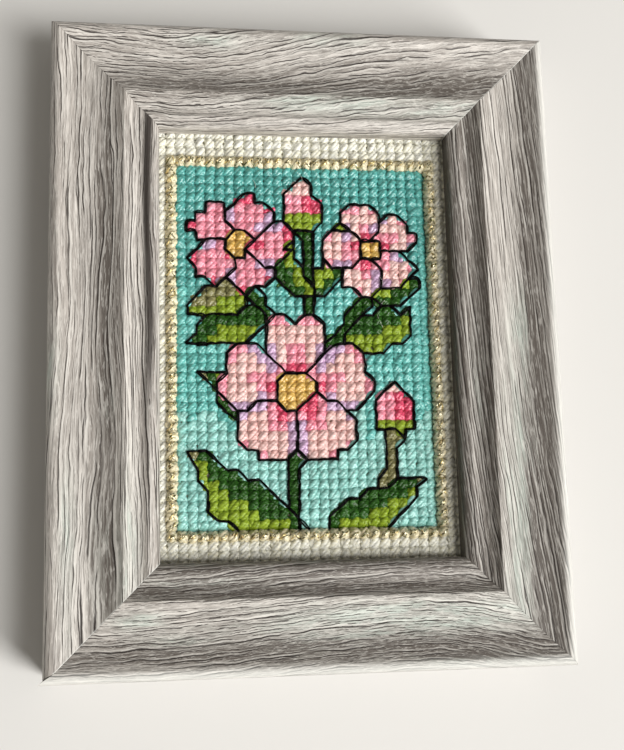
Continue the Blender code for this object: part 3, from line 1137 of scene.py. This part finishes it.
def make_cotton(name, colour, shine=1.0, glint_share=GLINT_SHARE):
    """Stranded cotton in one colour, with painted ply shading and painted glints."""
    material, tree, shader = new_material(name, 0.27)
    dye = np.array(photo_colour(*colour)[:3])
    brightest, lightness = dye.max(), dye @ (0.21, 0.72, 0.07)
    for place, value in (
            ("Specular IOR Level",
             shine * (LEAST_SHINE + MIDDLING_SHINE * lightness * (1 - lightness) ** 2)),
            ("Subsurface Weight", 0.85 * lightness ** 2),
            ("Subsurface Radius", (1.0, 1.0, 1.0)),
            ("Subsurface Scale", LIGHT_REACH),
            ("Sheen Weight", 0.25 * brightest),
            ("Sheen Roughness", 0.4)):
        shader.inputs[place].default_value = value

    side, top, run = split(tree, read_attribute(tree, "thread_around"))
    shade = read_attribute(tree, "thread_shade", "Fac")
    turned = scale(tree, run, 2 * math.pi / PLY_LENGTH, calculate(tree, "ARCTAN2", top, side))
    ply = calculate(tree, "SINE", scale(tree, turned, 2.0))
    along = scale(tree, shade, SHADE_JUMP, scale(tree, run, FIBRE_RUN))
    strand = join(tree, calculate(tree, "SINE", turned), calculate(tree, "COSINE", turned), along)
    fibre = noise(tree, strand, FIBRE_FINENESS, detail=2.0, roughness=0.6)

    # the ply paints light on its ridges and shade in its grooves
    light = scale(tree, ply, PLY_PAINTED_SHADING, scale(tree, fibre, FIBRE_LIGHTNESS, LIGHT_START))
    light = scale(tree, shade, SHADE_LIGHT, light)
    deep = (*((0.55 + 0.30 * lightness) * dye ** 1.25), 1.0)
    # the pale end holds a painted whitish glint
    pale_with_glint = (*np.minimum(1.16 * dye + 0.10 * brightest * (1 - dye), 1.0), 1.0)
    # colour of the painted highlight on the brightest fibres
    glint_colour = (*(0.20 + 0.65 * dye / brightest), 1.0)
    painted_glints = ramp(tree, fibre, *GLINT_LEVELS, 0.0, glint_share)
    cotton = blend_colours(tree, painted_glints, blend_colours(tree, light, deep, pale_with_glint), glint_colour)
    height = scale(tree, fibre, 0.5, scale(tree, ply, 0.5))
    finish_surface(tree, shader, cotton, height, PLY_RELIEF)
    return material

# %% [markdown]
# ## The crosses
# A cross is a leg from upper left to lower right and a leg from lower left to upper
# right over it, and each leg is two strands. Where an outline runs through a block, the
# two halves of a leg can have different threads. The leg then becomes two quarter
# stitches that meet in the middle of the block, which is how a stitcher makes slanting
# edges smooth. No two stitches are alike: the holes wander a little, and chance moves,
# spreads and plumps every strand. The crosses under the gold line are padded, and on
# the right and below they are drawn a little away from the picture.

# %% Sizes and chances of a stitch
UNDER_CROWN, OVER_CROWN = 0.46 * MM, 0.66 * MM   # middle of a strand above the cloth
QUARTER_CROWN = 0.44 * MM
HOLE_LEVEL = 0.09 * MM                 # and at a hole, where the threads crowd
LIFT_POWER = 3.0                       # higher makes fuller ends
STRAND_WIDTH = (0.31 * MM, 0.15 * MM)  # half width at a hole, and more in the middle
STRAND_HEIGHT = (0.21 * MM, 0.09 * MM)
STRAND_APART = (0.11 * MM, 0.15 * MM)  # half the distance of the two strands
UNDER_SPREAD = 0.09 * MM               # the pressed lower legs are wider
HOLE_INSET = np.array([0.06, 0.02])    # blocks; a strand leaves a hole on its own side
BORDER_PADDING = 0.54 * MM
BORDER_PULL = 0.10                     # blocks
UNDER_RINGS = np.array([0.0, 0.08, 0.28, 0.72, 0.92, 1.0])       # places along a leg
OVER_RINGS = np.array([0.0, 0.07, 0.24, 0.5, 0.76, 0.93, 1.0])
UNDER_SIDES, OVER_SIDES = 6, 8         # hidden lower legs need fewer faces

# What is left to chance, in blocks: how far holes wander and stitches slip, and how far
# in from its hole a strand may start
HOLE_WANDER, SLIP, INSET_CHANCE = 0.05, 0.055, 0.05
# How close a pair lies, as a share, and how much wider or closer it may be at one end
PAIR_CLOSENESS, FAN = (0.55, 1.15), 0.7
# In mm, how far a strand strays sideways and up, and as a share, how thick it is
STRAY, RISE_CHANCE, PLUMPNESS = 0.045, 0.07, 0.11
SHADE_SHARES = (0.7, 0.3)              # of a strand's shade: the leg's part, and its own
print("widest strand, mm:", round(2 * sum(STRAND_WIDTH) / MM, 2))

# %% [markdown]
# ## Where the holes are
# Every hole is moved a little, once, so that all the stitches which share it agree on
# its place. The stitches under the gold line are drawn out further.

# %% Places of the holes
randoms = np.random.default_rng(14)
first_hole = cells.min(0)
hole_shifts = randoms.normal(0, HOLE_WANDER, (*(cells.max(0) - first_hole + 2), 2))


def vary(count, spread):
    """One chance number near 0 for each of some strands."""
    return randoms.normal(0, spread, (count, 1))


def true_place(holes):
    """Where some holes really are, in blocks."""
    x, y = (holes - first_hole).astype(int).T
    return holes + hole_shifts[x, y]


def is_border(cells):
    """Which blocks lie in the single row round the field that the gold line covers."""
    beyond = np.maximum(-cells, cells - np.array(FIELD) + 1)
    return np.maximum(beyond, 0).max(1) == 1


def drawn_out(places, cells):
    """Holes of the border blocks, pulled away from the field on its right and below it."""
    places = places.astype(float)
    right = is_border(cells) & (cells[:, 0] == FIELD[0])
    below = is_border(cells) & (cells[:, 1] == -1)
    places[right, ..., 0] += BORDER_PULL * (FIELD[0] + 1 - places[right, ..., 0])
    places[below, ..., 1] -= BORDER_PULL * (places[below, ..., 1] + 1)
    return places


print("holes that wander:", hole_shifts[..., 0].size)

# %% [markdown]
# ## From a leg to its strands
# A leg is known by its two ends, its height and its thread. Its two strands then run
# beside each other, up out of one hole, over the cloth and down into the other.

# %% Legs and their strands
LEG_QUARTERS = ((0, 3), (2, 1))        # first and last quarter of a lower and of an upper leg


def legs_of(cells, threads, layer):
    """Start, end, crown height and thread of the legs of one layer of the crosses."""
    first, second = LEG_QUARTERS[layer]
    start, end = (drawn_out(true_place(cells + QUARTER_CORNERS[corner]), cells)
                  for corner in (first, second))
    middle = (start + end) / 2
    whole = threads[:, first] == threads[:, second]
    crown = (UNDER_CROWN, OVER_CROWN)[layer] + BORDER_PADDING * is_border(cells)
    split_legs = ~whole
    low = np.full(split_legs.sum(), QUARTER_CROWN)
    return [
        (start[whole], end[whole], crown[whole], threads[whole, first]),
        (start[split_legs], middle[split_legs], low, threads[split_legs, first]),
        (end[split_legs], middle[split_legs], low, threads[split_legs, second]),
    ]


def arch_over(flat, rings, low, rise, power):
    """Lines over the cloth, low above it at their ends and higher by rise in the middle."""
    lift = 1 - np.abs(2 * rings - 1) ** power
    height = FABRIC_TOP + low + rise * lift + swell_at(flat[..., 0], flat[..., 1])
    return np.concatenate([flat, height[..., None]], -1)


def strand_lines(starts, ends, crowns, rings, spread):
    """Middle lines and half sizes of the two strands of every leg, at places from 0 to 1."""
    count = len(starts)
    step = ends - starts
    across = left_of(step)[:, None, :]
    share = rings[None, :, None]
    arch = np.sqrt(np.abs(np.sin(math.pi * rings)))[None, :]
    together = randoms.uniform(*PAIR_CLOSENESS, (count, 1))
    fanned = 1 + randoms.uniform(-FAN, FAN, (count, 1)) * (2 * rings - 1)
    slip = randoms.normal(0, SLIP, (count, 1, 2)) * arch[..., None]
    lines, widths, heights = [], [], []
    for side in (-1, 1):
        inset = HOLE_INSET + INSET_CHANCE * randoms.random((count, 1, 2))
        inset = inset * np.sign(step)[:, None, :] * (1 - 2 * share)
        flat = starts[:, None, :] + step[:, None, :] * share + inset + slip
        stray = vary(count, STRAY) * MM
        apart = side * together * fanned * (STRAND_APART[0] + STRAND_APART[1] * arch) + stray * arch
        flat = FIELD_LOW + flat * PITCH + across * apart[..., None]
        crown = crowns[:, None] + vary(count, RISE_CHANCE) * MM
        lines.append(arch_over(flat, rings, HOLE_LEVEL, crown - HOLE_LEVEL, LIFT_POWER))
        plump = 1 + vary(count, PLUMPNESS)
        widths.append((STRAND_WIDTH[0] + STRAND_WIDTH[1] * arch + spread) * plump)
        heights.append((STRAND_HEIGHT[0] + STRAND_HEIGHT[1] * arch) * plump)
    return np.concatenate(lines), np.concatenate(widths), np.concatenate(heights)

# %% [markdown]
# ## Working the crosses
# The cloth is worked thread by thread. All the lower legs in one thread are one object,
# and the upper legs over them are another.

# %% Make the crosses
def make_legs(thread, layer, material):
    """All the lower or all the upper legs in one thread. A thread may have none."""
    groups = legs_of(cells, quarter_threads, layer)
    chosen = [[part[group[3] == THREADS[thread]] for part in group[:3]] for group in groups]
    starts, ends, crowns = (np.concatenate(parts) for parts in zip(*chosen))
    if len(starts) == 0:
        return []
    name, rings, sides, spread = (("under", UNDER_RINGS, UNDER_SIDES, UNDER_SPREAD),
                                  ("over", OVER_RINGS, OVER_SIDES, 0))[layer]
    lines, widths, heights = strand_lines(starts, ends, crowns, rings, spread)
    shade = np.tile(randoms.random(len(starts)), 2) * SHADE_SHARES[0]
    shade = shade + randoms.random(len(lines)) * SHADE_SHARES[1]
    return [add_strands(f"{thread}_{name}_legs", lines, widths, heights, sides, material, shade)]


stitches = []
for thread, colour in THREAD_COLOURS.items():
    cotton = make_cotton(f"{thread}_cotton", colour, DULL_THREADS.get(thread, 1.0))
    for layer in (0, 1):
        stitches += make_legs(thread, layer, cotton)
print("faces in the crosses:", sum(len(piece.data.polygons) for piece in stitches))

# %% [markdown]
# ## The metal thread
# The line round the picture is a thin gold thread, worked over one row of cream crosses.
# Its colour is laid in patches: bright painted glints in one place and dark olive painted
# reflections in the next, over the shine of the metal. Each block gets a few slanting
# filaments, none of them quite alike.

# %% Make the metal thread
FILAMENT_RINGS = np.array([0.0, 0.08, 0.3, 0.7, 0.92, 1.0])
FILAMENT_CROWN, FILAMENT_DIP = 1.66 * MM, 0.60 * MM     # its middle and its ends above the cloth
FILAMENT_WIDTH, FILAMENT_HEIGHT = 0.13 * MM, 0.08 * MM
FILAMENT_POWER = 2.6
RISING = np.array([(0.06, 0.06), (0.94, 0.94)])         # ends of a filament in its block
FALLING = np.array([(0.1, 0.9), (0.9, 0.1)])
END_CHANCE = 0.24                      # blocks
OUTWARD = 0.04                         # blocks, towards the frame
FILAMENT_PLUMPNESS = 0.2
FOIL_JUMP = 23.0                       # takes each filament to noise of its own
# levels of the noise at which a painted glint comes in, and a warmer tint
FOIL_GLINT_LEVELS, WARM_LEVELS = (0.41, 0.55), (0.50, 0.62)
FOIL_BUMP = 0.04 * MM


def make_metal():
    """Gold metal with painted glints and painted dark olive reflections in patches."""
    material, tree, shader = new_material("metal_thread", 0.30)
    shift = scale(tree, read_attribute(tree, "thread_shade", "Fac"), FOIL_JUMP)
    place = move(tree, read_attribute(tree, "thread_around"), x=shift)
    # patches of painted glint against painted dark reflection, which also give the bump
    glint_patches = ramp(tree, noise(tree, place, (0.5, 0.5, 1.5), detail=2.0), *FOIL_GLINT_LEVELS)
    warm = ramp(tree, noise(tree, place, (0.4, 0.4, 0.8), detail=1.0), *WARM_LEVELS)
    # colours of the painted glint and of the painted dark reflection, warmer in places
    foil_glint_colour = blend_colours(tree, warm, photo_colour(255, 248, 216), photo_colour(246, 222, 156))
    painted_dark = blend_colours(tree, warm, photo_colour(92, 90, 44), photo_colour(112, 86, 44))
    finish_surface(tree, shader, blend_colours(tree, glint_patches, painted_dark, foil_glint_colour), glint_patches, FOIL_BUMP)
    shader.inputs["Metallic"].default_value = 0.7
    return material


def make_metal_line():
    """Slanting gold filaments over every block of the border."""
    blocks = cells[is_border(cells)]
    out = np.where(blocks < 0, -1, 0) + np.where(blocks >= FIELD, 1, 0)
    share = FILAMENT_RINGS[None, :, None]
    lines = []
    for ends in (RISING, RISING, FALLING, RISING, RISING, RISING):
        inside = np.clip(ends + randoms.normal(0, END_CHANCE, (len(blocks), 2, 2)), 0.02, 0.98)
        ends = blocks[:, None] + inside * (1 - OUTWARD * np.abs(out))[:, None]
        ends = drawn_out(ends + (OUTWARD * (out > 0))[:, None], blocks)
        flat = FIELD_LOW + (ends[:, :1] * (1 - share) + ends[:, 1:] * share) * PITCH
        rise = FILAMENT_CROWN - FILAMENT_DIP + vary(len(blocks), RISE_CHANCE) * MM
        lines.append(arch_over(flat, FILAMENT_RINGS, FILAMENT_DIP, rise, FILAMENT_POWER))
    lines = np.concatenate(lines)
    plump = 1 + vary(len(lines), FILAMENT_PLUMPNESS) * np.ones(len(FILAMENT_RINGS))
    return add_strands("gold_filaments", lines, plump * FILAMENT_WIDTH, plump * FILAMENT_HEIGHT, 6,
                       make_metal(), randoms.random(len(lines)))


stitches.append(make_metal_line())
print("faces in the metal thread:", len(stitches[-1].data.polygons))

# %% [markdown]
# ## Backstitch
# Black lines are worked last, over the crosses. Each one is two strands from hole to
# hole, and some bow a little to one side. Where a later shape covers an earlier one, the
# earlier outline is left out.

# %% Make the black lines
BLACK_CROWN, BLACK_DIP = 1.08 * MM, 0.66 * MM    # a strand above the cloth, and at a hole
BLACK_WIDTH, BLACK_HEIGHT = 0.16 * MM, 0.12 * MM
BLACK_APART = 0.11 * MM
BLACK_POWER = 2.2
BLACK_STRAY, BLACK_BOW = 0.05, 0.06    # mm to one side, all along a strand and in its middle
BLACK_PLUMPNESS = 0.16
BLACK_THREAD, BLACK_SHINE = (14, 12, 13), 0.15


def visible_backstitches():
    """Start and end of every black stitch that no later shape covers."""
    found = []
    for place, shape in enumerate(SHAPES):
        closed = np.vstack([shape["outline"], shape["outline"][:1]])
        for line in [closed] + shape["lines"]:
            middle = (line[:-1] + line[1:]) / 2
            hidden = np.any((middle <= 0) | (middle >= FIELD), axis=1)
            for later in SHAPES[place + 1:]:
                hidden |= is_inside(middle, later["outline"])
            found += list(np.stack([line[:-1], line[1:]], 1)[~hidden])
    return np.array(found)


def make_black_lines():
    """All the backstitches as one object."""
    ends = np.clip(visible_backstitches(), 0, FIELD)
    starts, ends = true_place(ends[:, 0]), true_place(ends[:, 1])
    count, step = len(starts), ends - starts
    rings = OVER_RINGS
    arch = np.sin(math.pi * rings)[None, :]
    lines = []
    for side in (-1, 1):
        flat = FIELD_LOW + (starts[:, None] + step[:, None] * rings[None, :, None]) * PITCH
        stray = vary(count, BLACK_STRAY) * MM
        bow = vary(count, BLACK_BOW) * MM * arch
        off = (0.5 + 0.5 * arch) * BLACK_APART * side + stray + bow
        flat = flat + left_of(step)[:, None] * off[..., None]
        rise = BLACK_CROWN - BLACK_DIP + vary(count, RISE_CHANCE) * MM
        lines.append(arch_over(flat, rings, BLACK_DIP, rise, BLACK_POWER))
    lines = np.concatenate(lines)
    plump = 1 + vary(len(lines), BLACK_PLUMPNESS) * np.ones(len(rings))
    cotton = make_cotton("black_cotton", BLACK_THREAD, BLACK_SHINE, glint_share=0.0)
    return add_strands("black_backstitch", lines, plump * BLACK_WIDTH, plump * BLACK_HEIGHT, 8,
                       cotton, randoms.random(len(lines)))


stitches.append(make_black_lines())
print("faces in the backstitches:", len(stitches[-1].data.polygons))

# %% [markdown]
# ## Loose fibres
# Handled cotton sheds. A few pale hairs lie across the stitches.

# %% Make the loose fibres
FIBRES = 9
FIBRE_LENGTH = (1.2, 3.2)              # mm
FIBRE_CURL = 1.2                       # radians, at most
FIBRE_RADIUS = 0.035 * MM
FIBRE_LEVEL = 1.02 * MM                # above the cloth
FIBRE_SAG = 0.2 * MM                   # for each share of its length from the middle


def make_fibres():
    """Curved hairs at chance places on the stitched field."""
    share = np.linspace(-0.5, 0.5, 7)
    place = FIELD_LOW + randoms.uniform(1, np.array(FIELD) - 1, (FIBRES, 2)) * PITCH
    angle = randoms.uniform(0, math.pi, (FIBRES, 1))
    angle = angle + randoms.uniform(-FIBRE_CURL, FIBRE_CURL, (FIBRES, 1)) * share
    length = randoms.uniform(*FIBRE_LENGTH, (FIBRES, 1)) * MM
    flat = place[:, None] + np.stack([np.cos(angle), np.sin(angle)], -1) * (length * share)[..., None]
    height = FABRIC_TOP + FIBRE_LEVEL - FIBRE_SAG * np.abs(share) + np.zeros((FIBRES, 1))
    lines = np.concatenate([flat, height[..., None]], -1)
    thickness = np.full(lines.shape[:2], FIBRE_RADIUS)
    return add_strands("loose_fibres", lines, thickness, thickness, 5,
                       make_cotton("fibre_cotton", THREAD_COLOURS["cream"]), randoms.random(FIBRES))


stitches.append(make_fibres())
print("pieces stitched on the cloth:", len(stitches))

# %% [markdown]
# ## One sheet
# The cloth and all that is stitched on it are cut to the size of the rebate, and rest on
# the board. Only the flat size of the cloth is printed here.

print("flat size of the sheet, mm:", round(CLOTH_WIDTH / MM, 1), "x", round(CLOTH_HEIGHT / MM, 1))

# %% [markdown]
# ## The board at the back
# The solid board has the right shape already, so it only gets a finish: pressed fibre,
# which is a fine mottle of light and dark flecks with a barely rough surface.

# %% Board finish
MOTTLE_FINENESS = (900.0, 900.0, 900.0)
FLECK_FINENESS = (2600.0, 900.0, 2600.0)
FLECK_LEVELS = (0.56, 0.70)
BOARD_BUMP = 0.08 * MM


def make_board():
    """Pressed brown fibre board."""
    material, tree, shader = new_material("pressed_board", 0.8)
    place = add_node(tree, "ShaderNodeTexCoord").outputs["Object"]
    mottle = noise(tree, place, MOTTLE_FINENESS, detail=6.0, roughness=0.7)
    fleck = ramp(tree, noise(tree, place, FLECK_FINENESS, detail=2.0), *FLECK_LEVELS)
    colour = blend_colours(tree, mottle, photo_colour(112, 84, 58), photo_colour(190, 158, 120))
    colour = blend_colours(tree, fleck, colour, photo_colour(72, 50, 34))
    finish_surface(tree, shader, colour, mottle, BOARD_BUMP)
    return material


board = bpy.data.objects["backing_board"]
board.material_slots[0].material = make_board()
print("faces of the board:", len(board.data.polygons))

# %% [markdown]
# ## A plain studio
# A pale floor, a pale sky, and one tall soft window to the right and a little below, as
# in the photograph: it lights the slopes that face it, and lets the lip shade the cloth.

# %% Floor, light and sky
FLOOR_HALF = 1.5                       # metres, half its side
FLOOR_DROP = 0.05 * MM                 # keeps the floor clear of the frame's back
FLOOR_COLOUR = (0.72, 0.71, 0.69, 1)
SKY_COLOUR, SKY_STRENGTH = (1.0, 0.95, 0.86, 1), 0.24
WINDOW_PLACE = (1.24, -0.86, 1.32)
WINDOW_SIZE = (0.8, 2.0)               # wide and tall
WINDOW_POWER, WINDOW_COLOUR = 62.0, (1.0, 0.99, 0.97)


def make_floor():
    """Plain square floor."""
    mesh = bpy.data.meshes.new("floor")
    corners = [(x * FLOOR_HALF, y * FLOOR_HALF, 0) for x, y in ((-1, -1), (1, -1), (1, 1), (-1, 1))]
    mesh.from_pydata(corners, [], [(0, 1, 2, 3)])
    material, _, shader = new_material("pale_floor", 0.8)
    shader.inputs["Base Color"].default_value = FLOOR_COLOUR
    mesh.materials.append(material)
    floor = bpy.data.objects.new("floor", mesh)
    floor.location.z = -FLOOR_DROP
    bpy.context.scene.collection.objects.link(floor)


def make_sky():
    """Even pale light from all sides."""
    world = bpy.data.worlds.new("studio")
    world.use_nodes = True
    background = world.node_tree.nodes["Background"]
    background.inputs["Color"].default_value = SKY_COLOUR
    background.inputs["Strength"].default_value = SKY_STRENGTH
    bpy.context.scene.world = world


def make_window():
    """Soft oblong light that faces the middle of the picture."""
    data = bpy.data.lights.new("window", "AREA")
    data.shape = "RECTANGLE"
    data.size, data.size_y = WINDOW_SIZE
    data.energy = WINDOW_POWER
    data.color = WINDOW_COLOUR
    light = bpy.data.objects.new("window", data)
    light.location = WINDOW_PLACE
    light.rotation_euler = (-Vector(WINDOW_PLACE)).to_track_quat("-Z", "Y").to_euler()
    bpy.context.scene.collection.objects.link(light)


make_floor()
make_sky()
make_window()
bpy.context.scene.view_settings.view_transform = "Standard"
print("window, metres from the picture:", round(Vector(WINDOW_PLACE).length, 2))
